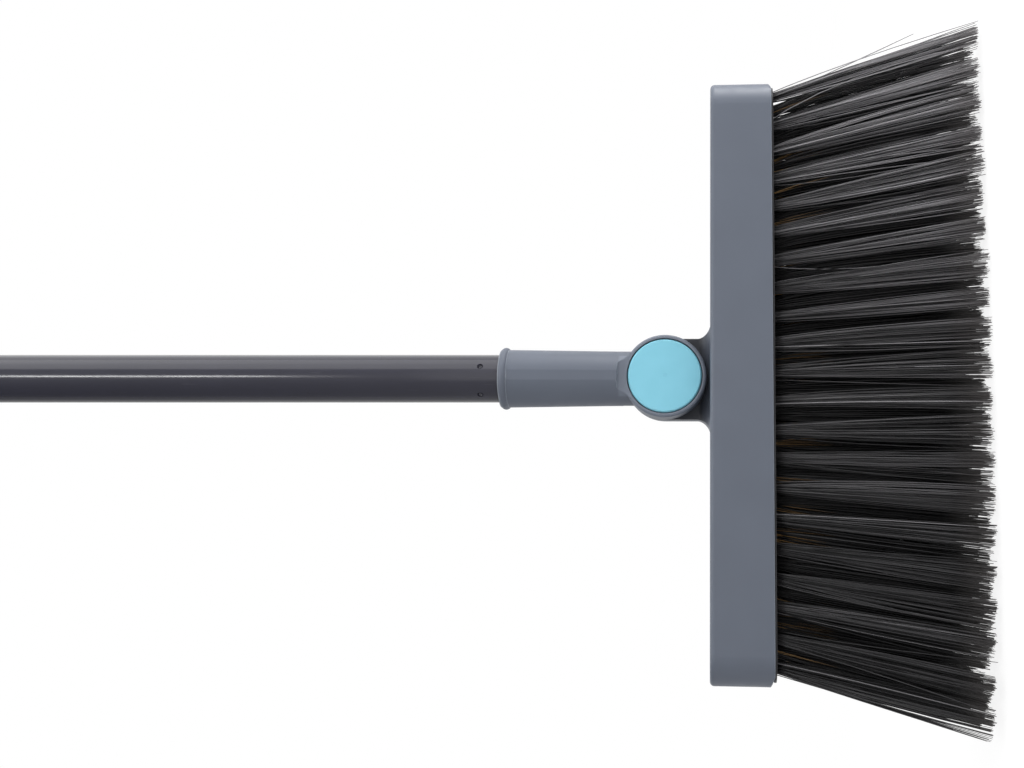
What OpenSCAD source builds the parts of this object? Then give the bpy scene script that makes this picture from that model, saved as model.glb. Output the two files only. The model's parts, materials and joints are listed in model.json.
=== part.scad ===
// Lobby broom with a turning head. The handle stands along +Z and the block lies along X.
// The front, with the button, faces -Y. The bristle tips stand on Z = 0.
// Along the pivot, places are given as distances to the front of the handle's axis.

/* [Handle] */
// Outer diameter of the handle tube
tube_d = 22.2; // [19:0.1:28]
// Wall of the handle tube
tube_wall = 0.6; // [0.4:0.1:1.2]
// Length of the handle tube
tube_l = 692; // [400:1:1200]
// How far the tube reaches into the socket's mouth
tube_seat = 6; // [4:0.5:8]
// Diameter of the ball that stakes the tube
dimple_ball_d = 2.7; // [2.4:0.1:4]
// Depth of a staked dimple
dimple_depth = 1.2; // [0.4:0.1:1.2]
// Height of the dimples over the socket's mouth
dimple_rise = 8.5; // [6:0.5:14]
// Number of dimples round the tube
dimple_count = 5; // [3:1:6]
// Turn of the first dimple's near side about the handle, in degrees
dimple_turn = 256.5; // [0:0.5:360]

/* [Hang cap] */
// Height of the cap over the tube
hang_cap_h = 36; // [30:1:50]
// Height of the cap's round collar
hang_collar_h = 12; // [8:1:14]
// Height of the shelf that the eye's sides start from
hang_shelf_h = 2; // [1:0.5:4]
// Thickness of the cap's eye
hang_eye_t = 10; // [6:0.5:14]
// Diameter of the hanging hole
hang_hole_d = 8; // [5:0.5:10]
// Length of the plug inside the tube
hang_plug_l = 26; // [15:1:40]
// Wall of the plug
hang_plug_wall = 2; // [1.5:0.25:3]

/* [Thread insert] */
// Length of the insert inside the tube
insert_l = 30; // [24:1:40]
// Thickness of the shoulder under the tube's end
insert_shoulder = 2; // [1.5:0.5:2.5]
// Diameter of the spigot that screws into the socket
spigot_d = 19; // [15:0.5:19.5]
// Length of the spigot
spigot_l = 27; // [18:1:30]
// Diameter of the insert's hollow core
insert_core_d = 12; // [8:0.5:13]

/* [Socket] */
// Height of the socket's mouth over the pivot
mouth_rise = 76; // [70:1:95]
// Diameter of the bead round the mouth
bead_d = 28.8; // [28:0.1:32]
// Height of the bead
bead_h = 4; // [3:0.25:6]
// Diameter of the barrel just under the bead
barrel_top_d = 26.8; // [26.2:0.1:27.4]
// Diameter of the barrel at its foot
barrel_foot_d = 25.4; // [24.8:0.1:26]
// Depth of the flat along the barrel's crest
crest_flat = 0.2; // [0.2:0.1:0.9]
// Height of the shoulder where the round barrel ends over the flat neck
shoulder_rise = 21.6; // [21:0.1:26]
// Step that the shoulder stands over the neck
shoulder_step = 1.2; // [0.8:0.1:1.2]
// Radius of the shoulder's rounded edge
shoulder_round = 0.6; // [0.3:0.1:0.8]
// Height where the neck's hollow meets the level of the cheek
hollow_foot_rise = 16.6; // [14:0.1:17]

/* [Pivot] */
// Diameter of the round cheek
cheek_d = 38.2; // [36:0.2:40]
// How far the cheek's face stands in front of the handle's axis
cheek_front = 10; // [9.6:0.1:10.4]
// Radius of the rounded edge of the cheek
cheek_round = 1.2; // [0.5:0.1:1.5]
// Depth of the cup that the button slides in
cup_depth = 5.6; // [5:0.1:6]
// Diameter of the lug's round end
lug_d = 38; // [36:0.2:39]
// Thickness of the lug
lug_t = 8; // [7:0.25:10]
// Height of the pivot over the block
pivot_rise = 20.8; // [20.4:0.1:26]
// Radius of the fillets round the foot of the lug
lug_fillet = 7; // [4:0.25:8]
// Diameter of the recess behind the lug
lug_recess_d = 21; // [20.8:0.2:26]
// Depth of that recess
lug_recess = 2.5; // [2:0.1:3]
// Outer diameter of the friction ring
friction_d = 32; // [26:0.5:34]
// Thickness of the friction ring
friction_t = 1; // [0.8:0.1:1.4]
// Depth of the ring's seat in the cheek
friction_seat = 0.6; // [0.4:0.05:0.7]

/* [Button] */
// Diameter of the button's face
button_d = 33.8; // [30:0.2:34.2]
// How far the button's face stands over the cheek
button_proud = 0.2; // [0:0.1:0.6]
// Thickness of the button's face
button_face_t = 1.8; // [1.4:0.1:2]
// Wall of the button's skirt
button_skirt_t = 1.6; // [1.2:0.1:2]
// Bevel round the face
button_bevel = 0.6; // [0.3:0.1:0.9]
// Travel of the button
button_travel = 2.2; // [1.5:0.1:2.4]
// Diameter of the hub that the lug turns on
hub_d = 14; // [12:0.2:16]
// Wire of the conical spring
spring_wire_d = 0.9; // [0.7:0.05:1]
// Turns of the spring
spring_turns = 2.5; // [2:0.5:3]
// Radius of the spring's wide end, at the middle of the wire
spring_wide_r = 13.4; // [12.6:0.1:13.6]
// Radius of the spring's narrow end, at the middle of the wire
spring_narrow_r = 8.8; // [8.6:0.1:9.2]

/* [Pivot bolt] */
// Diameter of the bolt's shank
bolt_d = 5; // [4:0.25:6]
// Diameter of the bolt's head
bolt_head_d = 9.5; // [8:0.25:12]
// Height of the bolt's head
bolt_head_h = 3; // [2:0.25:4]
// Width across flats of the key socket in the bolt's head
bolt_key = 4; // [3:0.5:5]
// Depth of the key socket
bolt_key_depth = 1.8; // [1:0.1:1.8]
// Diameter of the clamp washer
washer_d = 20; // [16:0.5:20.4]
// Thickness of the clamp washer
washer_t = 1.2; // [1:0.1:2]
// Outer diameter of the brass insert
brass_d = 7.6; // [7:0.1:9]
// Length of the brass insert
brass_l = 9; // [7:0.25:10]

/* [Block] */
// Length of the block
block_l = 277; // [200:1:360]
// Depth of the block, front to back, at its rim
block_d = 50; // [45:0.5:60]
// Height of the block
block_h = 28.2; // [26:0.2:40]
// Corner radius of the block in plan
block_corner_r = 14; // [10:0.5:18]
// Radius of the block's top edge
block_edge_r = 2; // [1.5:0.1:3.5]
// How far each side leans in from the rim to the top
block_draft = 0.5; // [0.1:0.1:1]
// How far the rim rises at each end
rim_lift = 1.7; // [0.5:0.1:2]
// Length over which the rim rises at each end
rim_lift_l = 5.2; // [3:0.1:8]
// Wall of the block
block_wall = 2.4; // [2:0.1:2.6]
// Thickness of the block's top
block_top_t = 3; // [2.5:0.1:4]
// Thickness of the ribs inside
rib_t = 1.8; // [1.2:0.1:2.5]
// Number of cross ribs on each side of the lug
rib_count = 4; // [2:1:5]

/* [Tuft plate] */
// Thickness of the plate inside the block
plate_t = 12; // [11:0.25:14]
// Thickness of the plate's flange below the block's rim, with the gap over it
plate_proud = 0.9; // [0.8:0.1:2]
// How far the flange is set in from the block's outside
flange_inset = 1.9; // [1.5:0.1:2.4]
// How far the tray is set in from the block's ends
tray_inset_l = 5.9; // [5.4:0.1:7]
// How far the tray is set in from the block's long sides
tray_inset_d = 4.1; // [3.9:0.1:4.3]
// Depth of the tray that the tuft rows lie in
tray_depth = 2; // [1.5:0.1:3]
// Corner radius of the tray
tray_corner_r = 7; // [5:0.5:7]
// Diameter of a tuft hole
tuft_hole_d = 5; // [4:0.25:5.5]
// Depth of a tuft hole over the tray
tuft_hole_depth = 7.5; // [6:0.25:8]
// Diameter of a plate screw
screw_d = 3.2; // [2.5:0.1:3.5]
// Diameter of a plate screw's head
screw_head_d = 6; // [5:0.1:6.2]
// Height of a plate screw's head
screw_head_h = 2; // [1.5:0.1:2.5]
// How far a plate screw bites into its boss
screw_bite = 8; // [5:0.5:8]
// Diameter of a screw boss
boss_d = 7.5; // [6.5:0.25:9]

/* [Bristles] */
// Height of the block's rim over the bristle tips
trim_h = 98; // [70:1:130]
// Distance from the tray's long sides to the middle of the outer rows
row_inset = 4.5; // [4.1:0.1:6.1]
// Number of tufts in the long rows
tuft_count = 21; // [15:2:21]
// Distance from the tray's ends to the middle of the outer tufts
tuft_inset = 4.1; // [3.8:0.1:9]
// How far the tips fan out past the roots at each end
fan_l = 25; // [10:1:45]
// How far the tips fan out past the roots at the front and back
fan_d = 6; // [5:0.5:25]
// Distance of a strand from the middle of its tuft, at the root
strand_root_out = 1.1; // [0.9:0.05:1.4]
// Radius of a strand
strand_r = 0.75; // [0.4:0.05:0.8]
// Diameter of a tuft's root in its hole
root_d = 4.6; // [3.6:0.1:4.8]
// Length of a tuft's root over the tray
root_l = 5; // [4:0.25:5.2]
// Thickness of a tuft anchor's wire
anchor_t = 0.5; // [0.3:0.05:0.8]
// Height of a tuft anchor
anchor_h = 2; // [1.5:0.1:2.4]

/* [Clearances] */
// Gap round a piece that slides or turns in another, on the radius
running_gap = 0.08; // [0.05:0.01:0.1]
// Gap round a fixed piece in its seat, on the radius
seat_gap = 0.05; // [0.02:0.01:0.15]
// Gap that keeps one moving piece off another along the pivot
clutch_gap = 0.1; // [0.05:0.01:0.2]
// Gap round the button's face
button_gap = 0.45; // [0.25:0.05:0.5]
// Gap round the tuft plate in the block
plate_gap = 0.2; // [0.1:0.05:0.4]
// Gap between neighbouring tuft rows
row_gap = 0.2; // [0.1:0.05:0.4]
// Room for the lug to swing under the barrel, and for the cheek over the block
swing_gap = 0.6; // [0.4:0.1:0.8]

/* [Hidden] */
$fn = 96;
// Finishes
slate = [0.25, 0.25, 0.29];
grey = [0.42, 0.45, 0.49];
sky = [0.53, 0.79, 0.87];
black = [0.09, 0.09, 0.1];
bristle_black = [0.17, 0.17, 0.18];
steel = [0.7, 0.71, 0.73];
brass = [0.78, 0.62, 0.3];
fibre = [0.32, 0.2, 0.14];
// Overrun of every cut, and sink of every joined foot
over = 1;
// Heights
rim_z = trim_h;
block_top_z = rim_z + block_h;
pivot_z = block_top_z + pivot_rise;
mouth_z = pivot_z + mouth_rise;
tube_z = mouth_z - tube_seat;
tube_top_z = tube_z + tube_l;
dimple_z = mouth_z + dimple_rise;
plate_z = rim_z - plate_proud;
tray_z = plate_z + tray_depth;
plate_top_z = rim_z + plate_t;
ceiling_z = block_top_z - block_top_t;
// Handle
tube_r = tube_d / 2;
tube_bore_r = tube_r - tube_wall;
dimple_r = dimple_ball_d / 2;
dimple_out = tube_r + dimple_r - dimple_depth;
hang_cap_r = tube_r - seat_gap;
hang_hole_z = tube_top_z + hang_cap_h - hang_cap_r;
// Socket
slot_rise = lug_d / 2 + swing_gap;
spigot_bore_r = spigot_d / 2 + seat_gap;
spigot_foot_rise = mouth_rise - tube_seat - insert_shoulder - spigot_l - seat_gap;
socket_core_r = insert_core_d / 2;
socket_floor_rise = shoulder_rise + shoulder_step;
neck_r = barrel_foot_d / 2;
crest_front = neck_r - crest_flat;
// The neck's hollow is an arc that starts level with the cheek and ends at the shoulder's foot
hollow_rise = crest_front - shoulder_step - cheek_front;
hollow_run = shoulder_rise - hollow_foot_rise;
hollow_r = (hollow_run * hollow_run + hollow_rise * hollow_rise) / (2 * hollow_rise);
// Pivot, as distances to the front of the handle's axis
cheek_r = cheek_d / 2;
// Half width of the neck where it leaves the barrel, as a share of the barrel's at that level
neck_w_share = 0.96;
neck_half_w = neck_w_share * sqrt(neck_r * neck_r - cheek_front * cheek_front);
// The flare's radius is a little over that of an arc that only touches the cheek
flare_touch_r = (shoulder_rise * shoulder_rise + neck_half_w * neck_half_w - cheek_r * cheek_r)
              / (2 * (cheek_r - neck_half_w));
flare_over_share = 1.06;
flare_r = flare_touch_r * flare_over_share;
flare_mid = neck_half_w + flare_r;
cup_r = button_d / 2 + button_gap;
cup_floor = cheek_front - cup_depth;
hub_r = hub_d / 2;
hub_bore_r = hub_r + running_gap;
friction_front = friction_seat;
friction_back = friction_front - friction_t;
lug_front = friction_back - clutch_gap;
lug_back = lug_front - lug_t;
lug_seat = lug_back + lug_recess;
washer_front = lug_seat - clutch_gap;
washer_back = washer_front - washer_t;
button_face = cheek_front + button_proud;
button_under = button_face - button_face_t;
skirt_back = cup_floor + button_travel + clutch_gap;
brass_front = washer_front + brass_l;
bolt_front = brass_front - clutch_gap;
lug_r = lug_d / 2;
// The lug's fillets are sunk by these shares of their radius, at its edges and at its faces
fillet_sink_shares = [0.02, 0.03];
// Block
cavity_corner_r = block_corner_r - block_wall;
cavity_l = block_l - 2 * (block_wall + block_draft);
cavity_d = block_d - 2 * (block_wall + block_draft);
rib_reach = block_l / 2 - block_corner_r;
// Bristles: each of the five rows is a node of its own
row_count = 5;
tray_l = block_l - 2 * tray_inset_l;
tray_d = block_d - 2 * tray_inset_d;
row_pitch = (tray_d - 2 * row_inset) / (row_count - 1);
tuft_pitch = (tray_l - 2 * tuft_inset) / (tuft_count - 1);
strip_d = row_pitch - row_gap;
row_mid = (row_count - 1) / 2;
root_half_l = tuft_pitch * (tuft_count - 1) / 2;
root_half_d = row_pitch * row_mid;
fan_l_share = (root_half_l + fan_l) / root_half_l;
fan_d_share = (root_half_d + fan_d) / root_half_d;
// A strand's tip leaves the middle of its tuft by a quarter of the distance to the next
tip_out_share = 0.25;
tip_out_l = tuft_pitch * fan_l_share * tip_out_share;
tip_out_d = row_pitch * fan_d_share * tip_out_share;
corners = [[-1, -1], [1, -1], [1, 1], [-1, 1]];
strand_sides = 4;
// Plate screws stand midway between tufts of the middle row, at these shares of the tuft pitch
screw_place_shares = [2.5, 8.5];
screw_xs = [for (p = screw_place_shares) for (s = [-1, 1]) s * p * tuft_pitch];
screw_head_seat_z = tray_z + screw_head_h;
// Spring
spring_rings = 8;
spring_sides = 6;
spring_low = cup_floor + spring_wire_d / 2;
spring_high = button_under - spring_wire_d / 2;

// How many tufts a row has: every other row is one short, so that the rows stagger
function row_tufts(row) = tuft_count - (row % 2 == floor(row_mid) % 2 ? 0 : 1);
function row_y(row) = (row - row_mid) * row_pitch;
function tuft_x(row, i) = (i - (row_tufts(row) - 1) / 2) * tuft_pitch;

// Turns a shape drawn in X and Z into a slab that reaches from back to front along the pivot
module pivot_slab(back, front) {
  translate([0, -back, pivot_z])
    rotate([90, 0, 0])
      linear_extrude(front - back)
        children();
}

// Turns a half profile, drawn as radius and distance to the front, about the pivot
module pivot_turned() {
  translate([0, 0, pivot_z])
    rotate([90, 0, 0])
      rotate_extrude()
        children();
}

// A half profile whose outer front corner is rounded
module rounded_disc_profile(r, back, front, round) {
  translate([0, back])
    square([r - round, front - back]);
  translate([0, back])
    square([r, front - back - round]);
  translate([r - round, front - round])
    circle(round);
}

// A rectangle with round corners about the origin
module rounded_rect(l, d, r) {
  square([l - 2 * r, d], center = true);
  square([l, d - 2 * r], center = true);
  for (sx = [-1, 1])
    for (sy = [-1, 1])
      translate([sx * (l / 2 - r), sy * (d / 2 - r)])
        circle(r);
}

// The same, set in from its outline by a gap
module inset_rect(l, d, r, gap) {
  rounded_rect(l - 2 * gap, d - 2 * gap, r - gap);
}

// One place for each staked dimple
module at_dimples() {
  for (i = [0 : dimple_count - 1])
    rotate([0, 0, dimple_turn + (i + 0.5) * 360 / dimple_count])
      translate([dimple_out, 0, dimple_z])
        children();
}

module handle_tube() {
  color(slate)
    difference() {
      union() {
        translate([0, 0, tube_z])
          difference() {
            cylinder(r = tube_r, h = tube_l);
            translate([0, 0, -over])
              cylinder(r = tube_bore_r, h = tube_l + 2 * over);
          }
        intersection() {
          at_dimples() sphere(dimple_r + tube_wall);
          translate([0, 0, tube_z])
            cylinder(r = tube_r - tube_wall / 2, h = tube_l);
        }
      }
      at_dimples() sphere(dimple_r);
    }
}

// Plug in the top of the tube, with a flat eye to hang the broom by
module hang_cap() {
  color(grey)
    difference() {
      union() {
        translate([0, 0, tube_top_z])
          cylinder(r = hang_cap_r, h = hang_collar_h);
        translate([0, 0, tube_top_z + hang_collar_h])
          cylinder(r1 = hang_cap_r, r2 = hang_eye_t / 2, h = hang_cap_r - hang_eye_t / 2);
        intersection() {
          translate([0, hang_eye_t / 2, hang_hole_z])
            rotate([90, 0, 0])
              linear_extrude(hang_eye_t) {
                circle(hang_cap_r);
                translate([-hang_cap_r, tube_top_z + hang_shelf_h - hang_hole_z])
                  square([2 * hang_cap_r, hang_hole_z - tube_top_z - hang_shelf_h]);
              }
          translate([0, 0, tube_top_z])
            cylinder(r = hang_cap_r, h = hang_cap_h + over);
        }
        translate([0, 0, tube_top_z - hang_plug_l])
          cylinder(r = tube_bore_r - seat_gap, h = hang_plug_l);
      }
      translate([0, 0, tube_top_z - hang_plug_l - over])
        cylinder(r = tube_bore_r - seat_gap - hang_plug_wall, h = hang_plug_l + over);
      translate([0, hang_cap_r + over, hang_hole_z])
        rotate([90, 0, 0])
          cylinder(d = hang_hole_d, h = 2 * (hang_cap_r + over));
    }
}

// Plug staked in the foot of the tube. Its spigot screws into the socket.
module thread_insert() {
  color(black)
    difference() {
      union() {
        translate([0, 0, tube_z])
          cylinder(r = tube_bore_r - seat_gap, h = insert_l);
        translate([0, 0, tube_z - insert_shoulder])
          cylinder(r = tube_r, h = insert_shoulder);
        translate([0, 0, tube_z - insert_shoulder - spigot_l])
          cylinder(d = spigot_d, h = spigot_l);
      }
      translate([0, 0, tube_z - insert_shoulder - spigot_l - over])
        cylinder(d = insert_core_d, h = insert_l + insert_shoulder + spigot_l + 2 * over);
      at_dimples() sphere(dimple_r + tube_wall + seat_gap);
    }
}

// Half profile of the barrel, drawn as radius and height over the pivot
module barrel_profile() {
  difference() {
    union() {
      polygon([
        [0, slot_rise],
        [barrel_foot_d / 2, slot_rise],
        [barrel_foot_d / 2, socket_floor_rise],
        [barrel_top_d / 2, mouth_rise - bead_h],
        [barrel_top_d / 2, mouth_rise],
        [0, mouth_rise]
      ]);
      translate([0, mouth_rise - bead_h])
        square([bead_d / 2 - bead_h / 2, bead_h]);
      translate([bead_d / 2 - bead_h / 2, mouth_rise - bead_h / 2])
        circle(d = bead_h);
    }
    translate([0, mouth_rise - tube_seat - insert_shoulder])
      square([tube_r + seat_gap, tube_seat + insert_shoulder + over]);
    translate([0, spigot_foot_rise])
      square([spigot_bore_r, mouth_rise - spigot_foot_rise]);
    translate([0, socket_floor_rise])
      square([socket_core_r, mouth_rise - socket_floor_rise]);
  }
}

// What is cut from the front of the barrel and neck, drawn as distance to the back and height over
// the pivot: the crest's flat, the shoulder's rounded edge and the hollow down to the cheek
module front_cut_profile() {
  bead_foot_rise = mouth_rise - bead_h;
  round_top_rise = shoulder_rise + shoulder_round;
  polygon([
    [-bead_d, round_top_rise],
    [-crest_front, round_top_rise],
    [-(barrel_top_d / 2 - crest_flat), bead_foot_rise],
    [-bead_d, bead_foot_rise]
  ]);
  difference() {
    translate([-bead_d, shoulder_rise])
      square([bead_d - crest_front + shoulder_round, shoulder_round]);
    translate([shoulder_round - crest_front, round_top_rise])
      circle(shoulder_round);
  }
  difference() {
    translate([-bead_d, -over])
      square([bead_d - cheek_front, shoulder_rise + over]);
    difference() {
      translate([-cheek_front - hollow_rise - over, hollow_foot_rise])
        square([hollow_rise + over, hollow_run + over]);
      translate([-cheek_front - hollow_r, hollow_foot_rise])
        circle(hollow_r);
    }
  }
}

// Barrel and neck: the front half of the neck runs on down to the cheek
module barrel_and_neck() {
  difference() {
    union() {
      translate([0, 0, pivot_z])
        rotate_extrude()
          barrel_profile();
      intersection() {
        translate([0, 0, pivot_z])
          cylinder(r = neck_r, h = slot_rise + over);
        translate([-neck_r, -neck_r, pivot_z])
          cube([2 * neck_r, neck_r, slot_rise + over]);
      }
    }
    translate([-bead_d / 2, 0, pivot_z])
      rotate([90, 0, 90])
        linear_extrude(bead_d)
          front_cut_profile();
  }
}

// Flat flared neck between the barrel and the round cheek. Each flare is an arc that leaves the
// barrel upright and cuts a little into the cheek's edge.
module neck_outline() {
  polygon_foot = cheek_r / norm([flare_mid, shoulder_rise]);
  difference() {
    polygon([
      [-neck_half_w, shoulder_rise + over],
      [-flare_mid * polygon_foot, shoulder_rise * polygon_foot],
      [0, 0],
      [flare_mid * polygon_foot, shoulder_rise * polygon_foot],
      [neck_half_w, shoulder_rise + over]
    ]);
    for (s = [-1, 1])
      translate([s * flare_mid, shoulder_rise])
        circle(flare_r);
  }
}

module handle_socket() {
  color(grey)
    difference() {
      union() {
        barrel_and_neck();
        pivot_turned() rounded_disc_profile(cheek_r, 0, cheek_front, cheek_round);
        pivot_slab(0, cheek_front) neck_outline();
      }
      pivot_turned() {
        translate([0, cup_floor])
          square([cup_r, cup_depth + neck_r]);
        translate([0, -over])
          square([friction_d / 2 + seat_gap, friction_seat + over]);
        square([hub_bore_r, cheek_front]);
      }
    }
}

module friction_ring() {
  color(fibre)
    pivot_turned()
      translate([hub_bore_r + seat_gap, friction_back])
        square([friction_d / 2 - hub_bore_r - seat_gap, friction_t]);
}

// Push button: a cup with a hub that carries the lug
module lock_button() {
  color(sky)
    pivot_turned()
      difference() {
        union() {
          polygon([
            [0, button_under],
            [button_d / 2, button_under],
            [button_d / 2, button_face - button_bevel],
            [button_d / 2 - button_bevel, button_face],
            [0, button_face]
          ]);
          translate([button_d / 2 - button_skirt_t, skirt_back])
            square([button_skirt_t, button_under - skirt_back]);
          translate([0, washer_front])
            square([hub_r, button_under - washer_front]);
        }
        translate([0, washer_front - over])
          square([brass_d / 2 + seat_gap, brass_l + over]);
      }
}

module hub_insert() {
  color(brass)
    pivot_turned()
      translate([bolt_d / 2 + seat_gap, washer_front])
        square([brass_d / 2 - bolt_d / 2 - seat_gap, brass_l]);
}

module pivot_bolt() {
  color(steel)
    difference() {
      pivot_turned() {
        translate([0, washer_back])
          square([bolt_d / 2, bolt_front - washer_back]);
        translate([0, washer_back - bolt_head_h])
          square([bolt_head_d / 2, bolt_head_h]);
      }
      pivot_slab(washer_back - bolt_head_h - over, washer_back - bolt_head_h + bolt_key_depth)
        circle(d = bolt_key / cos(30), $fn = 6);
    }
}

module clamp_washer() {
  color(steel)
    pivot_turned()
      translate([bolt_d / 2 + seat_gap, washer_back])
        square([washer_d / 2 - bolt_d / 2 - seat_gap, washer_t]);
}

// Middle line of the conical spring, wide end on the cup's floor. The wire turns flat at both ends.
function spring_turn_share(t) = t / spring_turns;
function spring_point(t) =
  let (
    share = spring_turn_share(t),
    r = spring_wide_r + (spring_narrow_r - spring_wide_r) * share,
    front = spring_low + (spring_high - spring_low) * share
  )
  [r * cos(360 * t), r * sin(360 * t), front];
function spring_ring(t) =
  let (mid = spring_point(t))
  [for (i = [0 : spring_sides - 1])
    let (
      a = 360 * i / spring_sides,
      out = cos(a) * spring_wire_d / 2,
      up = sin(a) * spring_wire_d / 2
    )
    [mid.x + out * cos(360 * t), mid.y + out * sin(360 * t), mid.z + up]];
spring_steps = spring_turns * spring_rings;
spring_points = [for (i = [0 : spring_steps]) each spring_ring(i / spring_rings)];
function quad(a, b, c, d) = [[a, b, c], [a, c, d]];
spring_faces = [
  for (i = [0 : spring_steps - 1])
    for (k = [0 : spring_sides - 1])
      let (
        n = (k + 1) % spring_sides,
        a = i * spring_sides,
        b = a + spring_sides
      )
      each quad(a + k, b + k, b + n, a + n),
  for (k = [1 : spring_sides - 2]) [0, k, k + 1],
  for (k = [1 : spring_sides - 2])
    let (e = spring_steps * spring_sides)
    [e, e + k + 1, e + k]
];
// Least gap between neighbouring turns of the wire
spring_gap = min([for (i = [0 : spring_steps - spring_rings])
  norm(spring_point(i / spring_rings) - spring_point(i / spring_rings + 1)) - spring_wire_d]);
echo(spring_gap = spring_gap);

module button_spring() {
  color(steel)
    translate([0, 0, pivot_z])
      rotate([90, 0, 0])
        polyhedron(spring_points, spring_faces);
}

// Half section through a side of the block, from a middle line out to a reach: the side leans in
// towards the top and has a rounded edge
module block_side_profile(reach) {
  top_reach = reach - block_draft;
  edge_z = block_h - block_edge_r;
  polygon([[0, 0], [reach, 0], [top_reach, edge_z], [0, edge_z]]);
  translate([0, edge_z])
    square([top_reach - block_edge_r, block_edge_r]);
  translate([top_reach - block_edge_r, edge_z])
    circle(block_edge_r);
}

// Straight stretch of the block, with the same section on both sides
module block_run(length, reach) {
  rotate([90, 0, 0])
    linear_extrude(length, center = true)
      for (s = [0, 1])
        mirror([s, 0])
          block_side_profile(reach);
}

// Wedges under both ends, where the rim rises
module rim_wedges() {
  for (s = [0, 1])
    mirror([s, 0, 0])
      translate([block_l / 2 - rim_lift_l, 0, 0])
        rotate([90, 0, 0])
          linear_extrude(block_d + 2 * over, center = true)
            polygon([[0, 0], [2 * rim_lift_l, 2 * rim_lift], [2 * rim_lift_l, -over], [0, -over]]);
}

// Two straight runs and four round corners, all with the same section
module block_outside() {
  mid_l = block_l / 2 - block_corner_r;
  mid_d = block_d / 2 - block_corner_r;
  translate([0, 0, rim_z])
    difference() {
      union() {
        rotate([0, 0, 90])
          block_run(2 * mid_l, block_d / 2);
        block_run(2 * mid_d, block_l / 2);
        for (sx = [-1, 1])
          for (sy = [-1, 1])
            translate([sx * mid_l, sy * mid_d, 0])
              rotate_extrude()
                block_side_profile(block_corner_r);
      }
      rim_wedges();
    }
}

module block_inside() {
  translate([0, 0, rim_z - over])
    linear_extrude(ceiling_z - rim_z + over)
      rounded_rect(cavity_l, cavity_d, cavity_corner_r);
}

// Ribs under the block's top reach down to the tuft plate
module block_ribs() {
  rib_h = ceiling_z - plate_top_z + over;
  for (s = [-1, 1])
    for (i = [1 : rib_count])
      translate([s * i * rib_reach / rib_count - rib_t / 2, -cavity_d / 2 - over, plate_top_z])
        cube([rib_t, cavity_d + 2 * over, rib_h]);
  translate([-cavity_l / 2 - over, -rib_t / 2, plate_top_z])
    cube([cavity_l + 2 * over, rib_t, rib_h]);
  for (x = screw_xs)
    translate([x, 0, plate_top_z])
      cylinder(d = boss_d, h = rib_h);
}

// Section through the foot of the lug, drawn as distance across and height over the block: both
// sides flare out in a concave fillet, which is sunk a little into the faces that it joins
module foot_section(half_w, sink) {
  fillet_mid = half_w + lug_fillet - sink;
  difference() {
    translate([-fillet_mid, -over])
      square([2 * fillet_mid, lug_fillet - sink + over]);
    for (s = [-1, 1])
      translate([s * fillet_mid, lug_fillet - sink])
        circle(lug_fillet);
  }
}

// Fillet all round the foot of the lug, mitred at the corners
module lug_skirt() {
  translate([0, -(lug_front + lug_back) / 2, block_top_z])
    intersection() {
      rotate([90, 0, 0])
        linear_extrude(lug_t + 2 * lug_fillet, center = true)
          foot_section(lug_r, lug_fillet * fillet_sink_shares[0]);
      rotate([90, 0, 90])
        linear_extrude(lug_d + 2 * lug_fillet, center = true)
          foot_section(lug_t / 2, lug_fillet * fillet_sink_shares[1]);
    }
}

module lug() {
  pivot_slab(lug_back, lug_front) {
    circle(lug_r);
    translate([-lug_r, -pivot_rise - over])
      square([lug_d, pivot_rise + over]);
  }
}

// The grey block with its lug: an open shell with ribs and screw bosses
module head_cover() {
  color(grey)
    difference() {
      union() {
        difference() {
          block_outside();
          block_inside();
        }
        block_ribs();
        lug();
        lug_skirt();
      }
      pivot_turned() {
        translate([0, lug_front])
          square([cheek_r + swing_gap, block_d]);
        translate([0, lug_back - over])
          square([hub_bore_r, lug_t + 2 * over]);
        translate([0, lug_back - over])
          square([lug_recess_d / 2, lug_recess + over]);
      }
      for (x = screw_xs)
        translate([x, 0, plate_top_z - over])
          cylinder(d = screw_d + 2 * seat_gap, h = screw_bite + 2 * over);
    }
}

module at_tufts(row) {
  for (i = [0 : row_tufts(row) - 1])
    translate([tuft_x(row, i), row_y(row), 0])
      children();
}

// Black plate with a flange under the block's rim, a staggered pattern of tuft holes, and a tray for
// the tuft rows
module tuft_plate() {
  color(black)
    difference() {
      union() {
        translate([0, 0, plate_z])
          linear_extrude(plate_top_z - plate_z)
            inset_rect(cavity_l, cavity_d, cavity_corner_r, plate_gap);
        translate([0, 0, plate_z])
          linear_extrude(plate_proud - seat_gap)
            inset_rect(block_l, block_d, block_corner_r, flange_inset);
      }
      translate([0, 0, plate_z - over])
        linear_extrude(tray_depth + over)
          rounded_rect(tray_l, tray_d, tray_corner_r);
      for (row = [0 : row_count - 1])
        at_tufts(row)
          translate([0, 0, tray_z - over])
            cylinder(d = tuft_hole_d, h = tuft_hole_depth + over);
      for (x = screw_xs)
        translate([x, 0, plate_z]) {
          cylinder(d = screw_d + 2 * seat_gap, h = plate_t + plate_proud + over);
          cylinder(d = screw_head_d + 2 * seat_gap, h = screw_head_seat_z - plate_z);
        }
    }
}

// Pan head screws, sunk among the tufts
module plate_screws() {
  color(steel)
    for (x = screw_xs)
      translate([x, 0, 0]) {
        translate([0, 0, screw_head_seat_z])
          cylinder(d = screw_d, h = plate_top_z - screw_head_seat_z + screw_bite);
        translate([0, 0, screw_head_seat_z - screw_head_h])
          cylinder(d = screw_head_d, h = screw_head_h);
      }
}

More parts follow.
